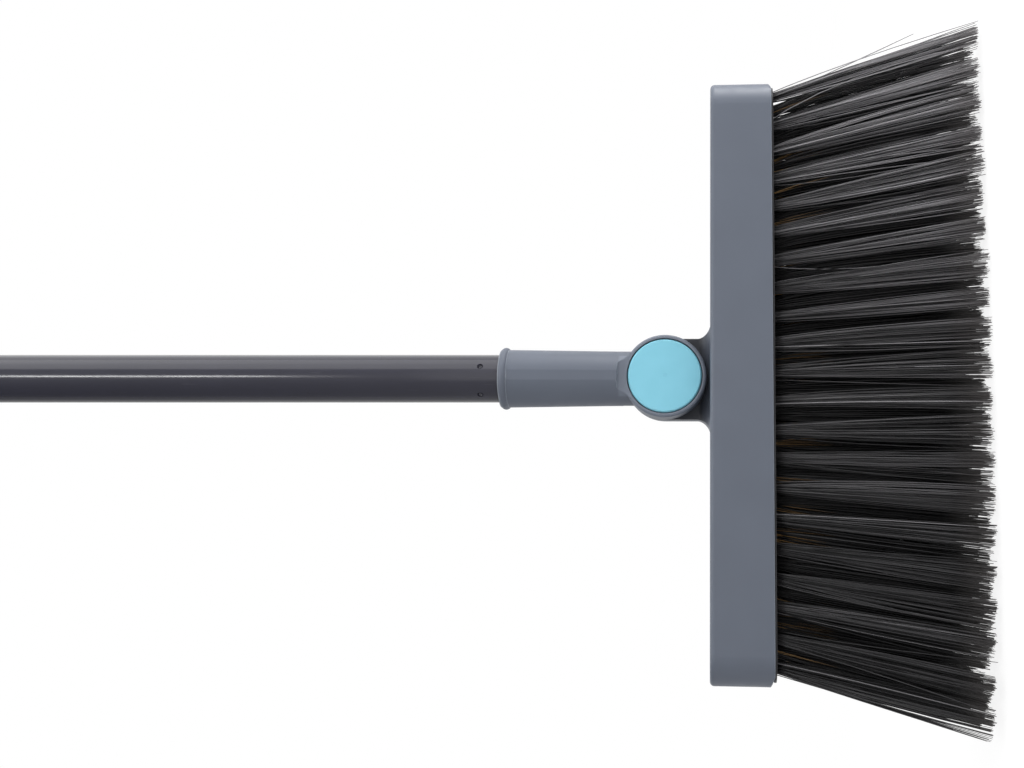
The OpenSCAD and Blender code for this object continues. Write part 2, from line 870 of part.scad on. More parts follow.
// Flat wire anchor at the bottom of each tuft hole
module tuft_anchors() {
  color(steel)
    for (row = [0 : row_count - 1])
      at_tufts(row)
        translate([0, 0, tray_z + root_l + anchor_h / 2])
          rotate([0, 0, 45])
            cube([tuft_hole_d - 2 * seat_gap, anchor_t, anchor_h], center = true);
}

// Strands run straight from the root to the tip. Roots and tips keep the same order, so none cross.
function strand_ring(x, y, z) =
  [for (k = [0 : strand_sides - 1])
    let (turn = 360 * (k + 0.5) / strand_sides)
    [x + strand_r * cos(turn), y + strand_r * sin(turn), z]];
function row_strands(row) =
  [for (i = [0 : row_tufts(row) - 1])
    for (c = corners)
      let (
        x = tuft_x(row, i),
        y = row_y(row)
      )
      each concat(
        strand_ring(x + c.x * strand_root_out, y + c.y * strand_root_out, plate_z + tray_depth / 2),
        strand_ring(x * fan_l_share + c.x * tip_out_l, y * fan_d_share + c.y * tip_out_d, 0)
      )];
function strand_faces(first) =
  let (tip = first + strand_sides)
  [
    for (k = [1 : strand_sides - 2]) [first, first + k + 1, first + k],
    for (k = [1 : strand_sides - 2]) [tip, tip + k, tip + k + 1],
    for (k = [0 : strand_sides - 1])
      let (n = (k + 1) % strand_sides)
      each quad(first + n, tip + n, tip + k, first + k)
  ];

// A row of tufts: strands, the roots in their holes, and the slice of backing that joins them
module bristle_row(row) {
  color(bristle_black)
    difference() {
      union() {
        polyhedron(
          row_strands(row),
          [for (s = [0 : row_tufts(row) * len(corners) - 1]) each strand_faces(s * 2 * strand_sides)]
        );
        translate([0, 0, plate_z])
          linear_extrude(tray_depth)
            intersection() {
              inset_rect(tray_l, tray_d, tray_corner_r, seat_gap);
              translate([0, row_y(row)])
                square([tray_l, strip_d], center = true);
            }
        at_tufts(row)
          translate([0, 0, tray_z - over])
            cylinder(d = root_d, h = root_l + over);
      }
      if (row == row_mid)
        for (x = screw_xs)
          translate([x, 0, plate_z - over])
            cylinder(d = screw_head_d + 2 * seat_gap, h = tray_depth + 2 * over);
    }
}

module bristle_row_1() { bristle_row(0); }
module bristle_row_2() { bristle_row(1); }
module bristle_row_3() { bristle_row(2); }
module bristle_row_4() { bristle_row(3); }
module bristle_row_5() { bristle_row(4); }

handle_tube();
hang_cap();
thread_insert();
handle_socket();
friction_ring();
lock_button();
hub_insert();
pivot_bolt();
clamp_washer();
button_spring();
head_cover();
tuft_plate();
plate_screws();
tuft_anchors();
bristle_row_1();
bristle_row_2();
bristle_row_3();
bristle_row_4();
bristle_row_5();
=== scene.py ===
# %% [markdown]
# # A lobby broom with a turning head
# The broom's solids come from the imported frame: tube, socket, button, block, plate and fasteners.
# This lesson dresses them. It sets a camera like the photographer's, lights the broom softly, gives
# each solid a finish of its own, winds the button's spring, and grows the thousands of bristle
# filaments that no solid model carries.
#
# Everything is in metres and in the frame's own axes: Z runs up the handle, X along the block,
# and the button faces -Y.

# %% Load the frame
import json
import math
from collections import namedtuple

import bpy
import numpy as np
from mathutils import Matrix, Vector


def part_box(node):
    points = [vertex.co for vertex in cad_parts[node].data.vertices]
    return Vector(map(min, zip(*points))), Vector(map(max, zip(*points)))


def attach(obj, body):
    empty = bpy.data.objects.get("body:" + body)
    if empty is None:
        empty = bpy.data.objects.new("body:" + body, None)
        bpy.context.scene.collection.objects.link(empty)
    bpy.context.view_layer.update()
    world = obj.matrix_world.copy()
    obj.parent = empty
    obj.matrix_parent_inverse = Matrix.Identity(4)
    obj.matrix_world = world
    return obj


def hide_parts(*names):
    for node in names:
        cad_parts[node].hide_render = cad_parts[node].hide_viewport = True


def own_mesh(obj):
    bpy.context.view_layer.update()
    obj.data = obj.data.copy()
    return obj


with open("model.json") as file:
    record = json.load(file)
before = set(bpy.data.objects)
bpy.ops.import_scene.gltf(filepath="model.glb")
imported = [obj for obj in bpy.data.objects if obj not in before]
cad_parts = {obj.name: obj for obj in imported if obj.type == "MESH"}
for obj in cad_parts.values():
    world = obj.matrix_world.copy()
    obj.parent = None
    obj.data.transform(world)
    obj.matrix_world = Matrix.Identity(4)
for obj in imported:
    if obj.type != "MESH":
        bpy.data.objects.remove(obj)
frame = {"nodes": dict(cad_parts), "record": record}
nodes = frame["nodes"]
joints = {joint["name"]: joint for joint in frame["record"]["behaviour"]["joints"]}
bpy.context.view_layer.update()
MM = 0.001
print("solids:", sorted(nodes))

# %% [markdown]
# ## The camera
# The picture shows the broom lying across it: the handle leaves to the left and the bristles are
# on the right. Our broom stands upright, so the camera is rolled by a quarter turn instead, with
# its own right along -Z.
#
# The block's -X end is a little larger in the picture than its +X end, so the camera stood a few
# degrees towards that end. The handle's edges stay parallel, so the sensor was parallel to the
# handle, and the frame was cropped from a wider picture. A lens shift gives that crop.

# %% Camera
IMAGE_W, IMAGE_H = 1024, 768
SENSOR = 36
PIVOT = Vector(joints["head_pivot"]["pos_m"])
CAMERA_SIDE = math.radians(8.5)
CAMERA_AWAY = 540 * MM
FOCAL_PX = 1160
MIDDLE_PX = (716, 382)
PIVOT_PX = (665.6, 378.8)

look = Vector((math.sin(CAMERA_SIDE), math.cos(CAMERA_SIDE), 0))
camera_right = Vector((0, 0, -1))
camera_up = camera_right.cross(look)
across = (PIVOT_PX[0] - MIDDLE_PX[0]) / FOCAL_PX * CAMERA_AWAY
upward = (MIDDLE_PX[1] - PIVOT_PX[1]) / FOCAL_PX * CAMERA_AWAY
eye = PIVOT - look * CAMERA_AWAY - camera_right * across - camera_up * upward

bpy.ops.object.select_all(action="DESELECT")
bpy.ops.object.camera_add(location=eye)
camera = bpy.context.object
camera.name = "photo_camera"
camera.rotation_euler = Matrix((camera_right, camera_up, -look)).transposed().to_euler()
camera.data.sensor_width = SENSOR
camera.data.lens = FOCAL_PX * SENSOR / IMAGE_W
camera.data.shift_x = (IMAGE_W / 2 - MIDDLE_PX[0]) / IMAGE_W
camera.data.shift_y = (MIDDLE_PX[1] - IMAGE_H / 2) / IMAGE_W
bpy.context.scene.camera = camera
print("camera at", [round(v, 3) for v in eye], "lens", round(camera.data.lens, 1), "mm")

# %% [markdown]
# ## Joining nodes
# A shader is a tree of nodes with links between them. A few short functions keep the links readable.
# Each one takes the tree, joins what it is given, and returns the output of its last node.
#
# The first asks the Light Path node who is looking. It tells rays that show a surface, straight from
# the camera or by a reflection, from rays that only carry light.

# %% Helpers for node trees
def seen_directly(tree):
    """1 for camera, reflection and transmission rays, and 0 for the rays that only carry light."""
    ray = tree.nodes.new("ShaderNodeLightPath")
    seen = ray.outputs["Is Camera Ray"]
    for kind in ("Is Glossy Ray", "Is Transmission Ray"):
        either = tree.nodes.new("ShaderNodeMath")
        either.operation = "MAXIMUM"
        tree.links.new(seen, either.inputs[0])
        tree.links.new(ray.outputs[kind], either.inputs[1])
        seen = either.outputs[0]
    return seen


def mix_shaders(tree, factor, first, second):
    """Goes from one shader to another as the factor goes from 0 to 1."""
    node = tree.nodes.new("ShaderNodeMixShader")
    for socket, source in zip(node.inputs, (factor, first, second)):
        tree.links.new(source, socket)
    return node.outputs[0]


def remap(tree, value, low, high, to_low, to_high, smooth=False):
    """Stretches a value from one span to another, and clamps it there."""
    node = tree.nodes.new("ShaderNodeMapRange")
    if smooth:
        node.interpolation_type = "SMOOTHSTEP"
    sockets = ("From Min", "From Max", "To Min", "To Max")
    for socket, number in zip(sockets, (low, high, to_low, to_high)):
        node.inputs[socket].default_value = number
    tree.links.new(value, node.inputs["Value"])
    return node.outputs["Result"]


def times(tree, first, second):
    """The product of two values."""
    node = tree.nodes.new("ShaderNodeMath")
    node.operation = "MULTIPLY"
    tree.links.new(first, node.inputs[0])
    tree.links.new(second, node.inputs[1])
    return node.outputs[0]


print("helpers for node trees are ready")

# %% [markdown]
# ## The room
# The picture has a plain white background. The world here is white where the camera or a reflection
# meets it, and dimmer for the light that it gives, so the background is white with no extra light on
# the broom. One upper corner of the room, towards -X, is darker in reflections. The tube mirrors it,
# so the tube's -X side gets darker the further it is from the socket.
#
# The pale floor works the same way. For the camera, the part near the broom is a thin matt layer over
# a white glow: the glow keeps it white, and the matt layer keeps the broom's shadow. Further out the
# matt layer fades, so that the floor runs into the white world with no edge.

# %% World
WHITE = (1, 1, 1, 1)
SKY_GIVES = 0.17
DARK_CORNER = -0.45
DARK_SHOWS = 0.3

world = bpy.data.worlds.new("white_room")
bpy.context.scene.world = world
world.use_nodes = True
room = world.node_tree
gives = room.nodes["Background"]
shows = room.nodes.new("ShaderNodeBackground")
mirrors = room.nodes.new("ShaderNodeBackground")
for background in (gives, shows, mirrors):
    background.inputs["Color"].default_value = WHITE
gives.inputs["Strength"].default_value = SKY_GIVES
shows.inputs["Strength"].default_value = 1

toward = room.nodes.new("ShaderNodeSeparateXYZ")
room.links.new(room.nodes.new("ShaderNodeTexCoord").outputs["Generated"], toward.inputs[0])
corner = times(room, toward.outputs["X"], toward.outputs["Z"])
room.links.new(remap(room, corner, DARK_CORNER, 0, DARK_SHOWS, 1), mirrors.inputs["Strength"])
mirrored = room.nodes.new("ShaderNodeLightPath").outputs["Is Glossy Ray"]
visible = mix_shaders(room, mirrored, shows.outputs[0], mirrors.outputs[0])
sky = mix_shaders(room, seen_directly(room), gives.outputs[0], visible)
room.links.new(sky, room.nodes["World Output"].inputs["Surface"])
bpy.context.scene.view_settings.view_transform = "Standard"
print("the world shows white and gives", SKY_GIVES, "of it")

# %% Floor
FLOOR_WIDE = 40
FLOOR_TONE = 0.9
FLOOR_ROUGH = 0.9
SHADOW_TONE = 0.2
SHADOW_GLOW = 0.86
SHADOW_REACH = (0.3, 0.8)

bpy.ops.object.select_all(action="DESELECT")
bpy.ops.mesh.primitive_plane_add(size=FLOOR_WIDE)
floor = bpy.context.object
floor.name = "pale_floor"
paint = bpy.data.materials.new("pale_floor_paint")
paint.use_nodes = True
tree = paint.node_tree
matt = tree.nodes["Principled BSDF"]
matt.inputs["Base Color"].default_value = (FLOOR_TONE, FLOOR_TONE, FLOOR_TONE, 1)
matt.inputs["Roughness"].default_value = FLOOR_ROUGH
thin = tree.nodes.new("ShaderNodeBsdfDiffuse")
thin.inputs["Color"].default_value = (SHADOW_TONE, SHADOW_TONE, SHADOW_TONE, 1)
glow = tree.nodes.new("ShaderNodeEmission")
glow.inputs["Strength"].default_value = SHADOW_GLOW
near = tree.nodes.new("ShaderNodeAddShader")
tree.links.new(thin.outputs[0], near.inputs[0])
tree.links.new(glow.outputs[0], near.inputs[1])
far = tree.nodes.new("ShaderNodeEmission")
out = tree.nodes.new("ShaderNodeVectorMath")
out.operation = "LENGTH"
tree.links.new(tree.nodes.new("ShaderNodeTexCoord").outputs["Object"], out.inputs[0])
fade = remap(tree, out.outputs["Value"], *SHADOW_REACH, 0, 1, smooth=True)
white = mix_shaders(tree, fade, near.outputs[0], far.outputs[0])
whole = mix_shaders(tree, seen_directly(tree), matt.outputs[0], white)
tree.links.new(whole, tree.nodes["Material Output"].inputs["Surface"])
floor.data.materials.append(paint)
print("floor", FLOOR_WIDE, "m wide, with the shadow kept within", SHADOW_REACH[1], "m")

# %% [markdown]
# ## The lamps
# In the picture the light comes from the upper left. With the camera rolled, that is from above and
# from the +X side. The coated tube is a good witness, as it mirrors the lamps:
#
# - side_box is the large soft box in the tube's upper third. Its edge draws a sharp line along the tube.
# - back_box carries that soft box on behind the broom, to the tube's outline.
# - front_strip, thin and far in front, is the bright line that shows only far from the socket.
#
# The rest of the broom asks for five more:
#
# - handle_box shines down from the handle's side. It draws a light edge along the block and leaves the
#   lug in the cheek's shade.
# - end_box brightens the tufts at the +X end.
# - near_fill and low_fill soften the shadows, from the front and from the -X side. The tube shows no
#   image of low_fill, so that lamp is hidden from reflections.
# - rear_box lights the back, for anyone who walks round the broom.
#
# An area lamp shines along its own -Z. Its X side is the wide one here, and its Y side runs up.

# %% Lamps
def soft_lamp(name, place, aim, wide, tall, power, mirrored=True):
    """A rectangular soft box at a place, turned towards an aim."""
    bpy.ops.object.light_add(type="AREA", location=place)
    lamp = bpy.context.object
    lamp.name = name
    lamp.rotation_euler = (Vector(aim) - Vector(place)).to_track_quat("-Z", "Y").to_euler()
    lamp.data.shape = "RECTANGLE"
    lamp.data.size = wide
    lamp.data.size_y = tall
    lamp.data.energy = power
    lamp.visible_glossy = mirrored


soft_lamp("side_box", place=(0.7, -0.42, 0.78), aim=(0, -0.42, 0.78), wide=0.96, tall=1.2, power=6.2)
soft_lamp("back_box", place=(0.7, 0.55, 0.78), aim=(0, 0.55, 0.78), wide=0.95, tall=1.2, power=1.7)
soft_lamp("end_box", place=(0.62, -0.12, 0.09), aim=(0, -0.12, 0.09), wide=0.3, tall=0.16, power=2)
soft_lamp("handle_box", place=(0.15, -0.5, 1.35), aim=(0, 0, 0.12), wide=0.7, tall=0.5, power=6)
soft_lamp("near_fill", place=(0.15, -0.9, 0.14), aim=(0, 0, 0.15), wide=0.9, tall=0.7, power=1.2)
soft_lamp(
    "low_fill", place=(-0.9, -0.2, 0.6), aim=(0, 0, 0.2), wide=1.2, tall=1.2, power=2.6, mirrored=False
)
soft_lamp("front_strip", place=(0.083, -1.48, 1.15), aim=(0, 0, 0.3), wide=0.13, tall=0.5, power=4)
soft_lamp("rear_box", place=(-0.2, 0.8, 1.5), aim=(0, 0, 0.15), wide=0.8, tall=0.8, power=4.5)

# %% [markdown]
# ## Finishes
# A finish here is a small tree of nodes. Each one starts from the piece's own Object coordinates,
# so that its grain keeps its real size. Two things come back in nearly all of them: a noise that
# shifts the colour or the gloss a little, and a fine bump.
#
# A moulded edge is never knife sharp. The Bevel node rounds the shading over such an edge, and the
# angle between its normal and the true one tells where the edges are. There the colour is painted
# paler, a painted highlight along each edge.

# %% Helpers for finishes
NOISE_SPAN = (0.3, 0.7)
BEVEL_SAMPLES = 6
EDGE_COSINES = (0.995, 0.86)


def start_finish(name):
    """A new material with its Principled shader and its Object coordinates."""
    finish = bpy.data.materials.new(name)
    finish.use_nodes = True
    tree = finish.node_tree
    shader = tree.nodes["Principled BSDF"]
    place = tree.nodes.new("ShaderNodeTexCoord").outputs["Object"]
    return finish, tree, shader, place


def add_noise(tree, place, size, detail=2, stretch=(1, 1, 1)):
    """Noise whose blobs are about this many metres across; stretch makes them longer along an axis."""
    mapping = tree.nodes.new("ShaderNodeMapping")
    mapping.inputs["Scale"].default_value = [1 / (size * s) for s in stretch]
    tree.links.new(place, mapping.inputs["Vector"])
    noise = tree.nodes.new("ShaderNodeTexNoise")
    noise.inputs["Scale"].default_value = 1
    noise.inputs["Detail"].default_value = detail
    tree.links.new(mapping.outputs[0], noise.inputs["Vector"])
    return noise.outputs["Fac"]


def patches(tree, place, size, low=0, high=1, detail=2, stretch=(1, 1, 1)):
    """Soft patches whose value wanders from low to high."""
    return remap(tree, add_noise(tree, place, size, detail, stretch), *NOISE_SPAN, low, high)


def share_of(tree, value, share):
    """A value from 0 to 1, made weaker."""
    return remap(tree, value, 0, 1, 0, share)


def blend_colours(tree, factor, first, second):
    """Mixes two colours; each is a tuple or another node's output."""
    node = tree.nodes.new("ShaderNodeMix")
    node.data_type = "RGBA"
    tree.links.new(factor, node.inputs["Factor"])
    colour_in = [s for s in node.inputs if s.type == "RGBA"]
    for socket, colour in zip(colour_in, (first, second)):
        if isinstance(colour, tuple):
            socket.default_value = (*colour, 1)
        else:
            tree.links.new(colour, socket)
    return [s for s in node.outputs if s.type == "RGBA"][0]


def add_bump(tree, shader, height, depth, strength, edge=None):
    """A bump of this depth in metres, over a rounded edge where one is given."""
    bump = tree.nodes.new("ShaderNodeBump")
    bump.inputs["Distance"].default_value = depth
    bump.inputs["Strength"].default_value = strength
    tree.links.new(height, bump.inputs["Height"])
    if edge is not None:
        tree.links.new(edge, bump.inputs["Normal"])
    tree.links.new(bump.outputs[0], shader.inputs["Normal"])


def rounded_edge(tree, radius):
    """The normal over an edge rounded by this radius, and how near the edge is, from 0 to 1."""
    bevel = tree.nodes.new("ShaderNodeBevel")
    bevel.samples = BEVEL_SAMPLES
    bevel.inputs["Radius"].default_value = radius
    true = tree.nodes.new("ShaderNodeNewGeometry").outputs["True Normal"]
    dot = tree.nodes.new("ShaderNodeVectorMath")
    dot.operation = "DOT_PRODUCT"
    tree.links.new(bevel.outputs[0], dot.inputs[0])
    tree.links.new(true, dot.inputs[1])
    near = remap(tree, dot.outputs["Value"], *EDGE_COSINES, 0, 1)
    return bevel.outputs[0], near


print("helpers for finishes are ready")

# %% [markdown]
# ## Grey moulded plastic
# The block, the socket and the hanging cap are the same satin blue-grey plastic. Its tone clouds
# a little over a few centimetres, and the mould leaves a fine grain.
#
# Two places carry painted light and shade. The front of the block's lug, behind the cheek, is painted
# darker as painted shade, and the rim round the button is painted paler as painted light. Each is a zone
# between two heights Z and two depths Y, blended over the plain tone. The socket's edges are sharper
# than the block's, and their painted edge highlight is paler.

# %% Moulded plastic
CLOUD_SIZE = 24 * MM
# How far rounded edges turn towards their paler tone: a painted highlight.
EDGE_HIGHLIGHT_SHARE = 0.85
SATIN_SIZE = 6 * MM
SATIN_VARIES = 0.05
PLASTIC_SPECULAR = 0.32
GRAIN_SIZE = 0.3 * MM
GRAIN_DEPTH = 0.012 * MM
GRAIN_STRENGTH = 0.6
BLOCK_EDGE_R = 0.9 * MM
SOCKET_EDGE_R = 0.6 * MM


def moulded_plastic(name, tone, paler, edge_highlight_tone, rough, edge_r=BLOCK_EDGE_R, zone=None):
    """Satin moulded plastic with clouding, mould grain, a painted highlight on rounded edges, and perhaps
    a painted zone.
    """
    finish, tree, shader, place = start_finish(name)
    colour = blend_colours(tree, patches(tree, place, CLOUD_SIZE, detail=3), tone, paler)
    normal, near_edge = rounded_edge(tree, edge_r)
    # Painted highlight: near a rounded edge the colour turns paler.
    colour = blend_colours(tree, share_of(tree, near_edge, EDGE_HIGHLIGHT_SHARE), colour, edge_highlight_tone)
    # The zone paints light on the rim round the button, and shade on the block's lug.
    if zone:
        split = tree.nodes.new("ShaderNodeSeparateXYZ")
        tree.links.new(place, split.inputs[0])
        within_z = remap(tree, split.outputs["Z"], *zone["z"], 0, zone["share"])
        within_y = remap(tree, split.outputs["Y"], *zone["y"], 0, 1)
        colour = blend_colours(tree, times(tree, within_z, within_y), colour, zone["tone"])
    tree.links.new(colour, shader.inputs["Base Color"])
    gloss = patches(tree, place, SATIN_SIZE, rough - SATIN_VARIES, rough + SATIN_VARIES)
    tree.links.new(gloss, shader.inputs["Roughness"])
    shader.inputs["Specular IOR Level"].default_value = PLASTIC_SPECULAR
    add_bump(tree, shader, add_noise(tree, place, GRAIN_SIZE), GRAIN_DEPTH, GRAIN_STRENGTH, normal)
    return finish


print("satin plastic with clouds of", CLOUD_SIZE / MM, "mm and a grain of", GRAIN_SIZE / MM, "mm")

# %% Grey and black plastic
GREY = (0.105, 0.12, 0.152)
GREY_PALER = (0.112, 0.128, 0.162)
# The edge tones below are painted highlights along rounded edges.
GREY_EDGE_HIGHLIGHT = (0.26, 0.285, 0.33)
SOCKET_EDGE_HIGHLIGHT = (0.36, 0.39, 0.44)
GREY_ROUGH = 0.46
BLACK = (0.011, 0.011, 0.013)
BLACK_PALER = (0.017, 0.017, 0.019)
BLACK_EDGE_HIGHLIGHT = (0.05, 0.05, 0.055)
BLACK_ROUGH = 0.45
# Painted shade: the lug's front behind the cheek is painted darker, where the cheek's shadow falls.
LUG_PAINTED_SHADE = {
    "z": (126.3 * MM, 130.5 * MM),
    "y": (4 * MM, 0.8 * MM),
    "tone": (0.014, 0.015, 0.02),
    "share": 0.9,
}
# Painted light: the rim round the button is painted paler, which lifts it out of the button's shade.
RIM_PAINTED_LIGHT = {
    "z": (PIVOT.z + 21.6 * MM, PIVOT.z + 20.4 * MM),
    "y": (-8.2 * MM, -9 * MM),
    "tone": (0.155, 0.175, 0.215),
    "share": 1,
}

grey_plastic = moulded_plastic("grey_moulded_plastic", GREY, GREY_PALER, GREY_EDGE_HIGHLIGHT, GREY_ROUGH)
socket_plastic = moulded_plastic(
    "grey_socket_plastic", GREY, GREY_PALER, SOCKET_EDGE_HIGHLIGHT, GREY_ROUGH, SOCKET_EDGE_R, RIM_PAINTED_LIGHT
)
cover_plastic = moulded_plastic(
    "grey_cover_plastic", GREY, GREY_PALER, GREY_EDGE_HIGHLIGHT, GREY_ROUGH, zone=LUG_PAINTED_SHADE
)
black_plastic = moulded_plastic("black_moulded_plastic", BLACK, BLACK_PALER, BLACK_EDGE_HIGHLIGHT, BLACK_ROUGH)
print("made", grey_plastic.name, socket_plastic.name, cover_plastic.name, black_plastic.name)

# %% [markdown]
# ## The blue button
# The button is a brighter, smoother plastic. It was filled through its middle, so the mould left
# a small round gate mark there, slightly sunk and darker.

# %% Button plastic
SKY = (0.213, 0.545, 0.675)
SKY_PALER = (0.226, 0.565, 0.7)
SKY_GATE = (0.18, 0.47, 0.62)
# The button's paler edge tone is a painted highlight.
SKY_EDGE_HIGHLIGHT = (0.5, 0.78, 0.87)
SKY_CLOUD = 9 * MM
SKY_EDGE_R = 0.35 * MM
SKY_EDGE_HIGHLIGHT_SHARE = 0.4
SKY_SATIN_SIZE = 3 * MM
SKY_ROUGH = (0.36, 0.44)
GATE_R = 1.3 * MM
GATE_FLAT_SHARE = 0.55
GATE_TINT = 0.25
GATE_DEPTH = 0.08 * MM
GATE_STRENGTH = 0.5


def from_pivot_axis(tree, place):
    """Distance from the pivot's axis, which runs along Y."""
    mapping = tree.nodes.new("ShaderNodeMapping")
    mapping.inputs["Location"].default_value = -PIVOT
    tree.links.new(place, mapping.inputs["Vector"])
    flat = tree.nodes.new("ShaderNodeVectorMath")
    flat.operation = "MULTIPLY"
    flat.inputs[1].default_value = (1, 0, 1)
    tree.links.new(mapping.outputs[0], flat.inputs[0])
    out = tree.nodes.new("ShaderNodeVectorMath")
    out.operation = "LENGTH"
    tree.links.new(flat.outputs[0], out.inputs[0])
    return out.outputs["Value"]


def button_plastic():
    """Smooth sky-blue plastic with a gate mark in the middle."""
    finish, tree, shader, place = start_finish("sky_moulded_plastic")
    colour = blend_colours(tree, patches(tree, place, SKY_CLOUD, detail=3), SKY, SKY_PALER)
    gate = remap(tree, from_pivot_axis(tree, place), GATE_FLAT_SHARE * GATE_R, GATE_R, 1, 0)
    colour = blend_colours(tree, share_of(tree, gate, GATE_TINT), colour, SKY_GATE)
    normal, near_edge = rounded_edge(tree, SKY_EDGE_R)
    # Painted highlight: the button's rounded edge turns paler.
    colour = blend_colours(tree, share_of(tree, near_edge, SKY_EDGE_HIGHLIGHT_SHARE), colour, SKY_EDGE_HIGHLIGHT)
    tree.links.new(colour, shader.inputs["Base Color"])
    tree.links.new(patches(tree, place, SKY_SATIN_SIZE, *SKY_ROUGH), shader.inputs["Roughness"])
    shader.inputs["Specular IOR Level"].default_value = PLASTIC_SPECULAR
    add_bump(tree, shader, gate, -GATE_DEPTH, GATE_STRENGTH, normal)
    return finish


sky_plastic = button_plastic()
print("made", sky_plastic.name)

# %% [markdown]
# ## The coated tube
# The handle is a thin steel tube with a dark slate coating, baked on. It is smooth enough to mirror
# the lamps as clear bands, so its roughness is low. The coat has a slight orange peel, a few dark
# specks, and fine scuffs that run along the tube.

# %% Slate coat
COAT = (0.017, 0.017, 0.029)
COAT_PALER = (0.021, 0.021, 0.035)
COAT_CLOUD = 60 * MM
COAT_IOR = 1.48
COAT_ROUGH = (0.13, 0.19)
COAT_GLOSS_SIZE = 4 * MM
COAT_GLOSS_STRETCH = (1, 1, 5)
SPECK = (0.012, 0.012, 0.018)
SPECK_SIZE = 5 * MM
SPECK_SPAN = (0.73, 0.78)
SPECK_SHARE = 0.6
SCUFF = (0.06, 0.06, 0.075)
SCUFF_SIZE = 0.7 * MM
SCUFF_STRETCH = (1, 1, 28)
SCUFF_SPAN = (0.68, 0.74)
SCUFF_SHARE = 0.3
PEEL_SIZE = 2.2 * MM
PEEL_DEPTH = 0.006 * MM
PEEL_STRENGTH = 0.3


def baked_coat():
    """A dark glossy coat with specks, long scuffs and orange peel."""
    finish, tree, shader, place = start_finish("slate_baked_coat")
    colour = blend_colours(tree, patches(tree, place, COAT_CLOUD, detail=3), COAT, COAT_PALER)
    speck = remap(tree, add_noise(tree, place, SPECK_SIZE, 1), *SPECK_SPAN, 0, SPECK_SHARE)
    colour = blend_colours(tree, speck, colour, SPECK)
    scuff_noise = add_noise(tree, place, SCUFF_SIZE, 4, SCUFF_STRETCH)
    scuff = remap(tree, scuff_noise, *SCUFF_SPAN, 0, SCUFF_SHARE)
    tree.links.new(blend_colours(tree, scuff, colour, SCUFF), shader.inputs["Base Color"])
    gloss = patches(tree, place, COAT_GLOSS_SIZE, *COAT_ROUGH, 3, COAT_GLOSS_STRETCH)
    tree.links.new(gloss, shader.inputs["Roughness"])
    shader.inputs["IOR"].default_value = COAT_IOR
    add_bump(tree, shader, add_noise(tree, place, PEEL_SIZE), PEEL_DEPTH, PEEL_STRENGTH)
    return finish


slate_coat = baked_coat()
print("made", slate_coat.name)

# %% [markdown]
# ## Metals and friction fibre
# The bolt, washer, spring, screws and anchors are plated steel, drawn or turned, so their grain
# runs in one direction. The insert in the button's hub is brass, and the friction ring is pressed
# fibre.

# %% Metals and fibre
DRAWN_SIZE = 0.5 * MM
DRAWN_STRETCH = (9, 1, 1)
DRAWN_VARIES = 0.07
DRAWN_EDGE_R = 0.2 * MM
DRAWN_DEPTH = 0.004 * MM
DRAWN_STRENGTH = 0.4
STEEL = (0.5, 0.51, 0.54)
STEEL_PALER = (0.64, 0.65, 0.67)
STEEL_ROUGH = 0.34
BRASS = (0.56, 0.4, 0.14)
BRASS_PALER = (0.7, 0.52, 0.22)
BRASS_ROUGH = 0.3
FIBRE = (0.07, 0.035, 0.02)
FIBRE_PALER = (0.13, 0.075, 0.045)
FIBRE_ROUGH = 0.85
FLECK_SIZE = 0.5 * MM
FLECK_SPAN = (0.35, 0.65)
FLECK_DEPTH = 0.03 * MM
FLECK_STRENGTH = 0.5


def drawn_metal(name, tone, paler, rough):
    """Bare metal with a long fine grain."""
    finish, tree, shader, place = start_finish(name)
    shader.inputs["Metallic"].default_value = 1
    grain = add_noise(tree, place, DRAWN_SIZE, 3, DRAWN_STRETCH)
    tree.links.new(blend_colours(tree, grain, tone, paler), shader.inputs["Base Color"])
    gloss = remap(tree, grain, *NOISE_SPAN, rough - DRAWN_VARIES, rough + DRAWN_VARIES)
    tree.links.new(gloss, shader.inputs["Roughness"])
    normal = rounded_edge(tree, DRAWN_EDGE_R)[0]
    add_bump(tree, shader, grain, DRAWN_DEPTH, DRAWN_STRENGTH, normal)
    return finish


def pressed_fibre():
    """Rough brown fibre with fine flecks."""
    finish, tree, shader, place = start_finish("pressed_friction_fibre")
    fleck = remap(tree, add_noise(tree, place, FLECK_SIZE, 4), *FLECK_SPAN, 0, 1)
    colour = blend_colours(tree, fleck, FIBRE, FIBRE_PALER)
    tree.links.new(colour, shader.inputs["Base Color"])
    shader.inputs["Roughness"].default_value = FIBRE_ROUGH
    add_bump(tree, shader, fleck, FLECK_DEPTH, FLECK_STRENGTH)
    return finish


plated_steel = drawn_metal("plated_steel", STEEL, STEEL_PALER, STEEL_ROUGH)
turned_brass = drawn_metal("turned_brass", BRASS, BRASS_PALER, BRASS_ROUGH)
friction_fibre = pressed_fibre()
print("made", plated_steel.name, turned_brass.name, friction_fibre.name)

# %% [markdown]
# ## Dress the solids
# A solid from the frame is never moved or reshaped. It only gets a new material in its slots.

# %% Dress the solids
FINISHES = {
    "handle_tube": slate_coat,
    "hang_cap": grey_plastic,
    "thread_insert": black_plastic,
    "handle_socket": socket_plastic,
    "friction_ring": friction_fibre,
    "lock_button": sky_plastic,
    "hub_insert": turned_brass,
    "pivot_bolt": plated_steel,
    "clamp_washer": plated_steel,
    "head_cover": cover_plastic,
    "tuft_plate": black_plastic,
    "plate_screws": plated_steel,
    "tuft_anchors": plated_steel,
}


def dress(piece, finish):
    """Gives a piece one finish."""
    piece.data.materials.clear()
    piece.data.materials.append(finish)


for name, finish in FINISHES.items():
    dress(nodes[name], finish)
print("dressed", len(FINISHES), "solids")

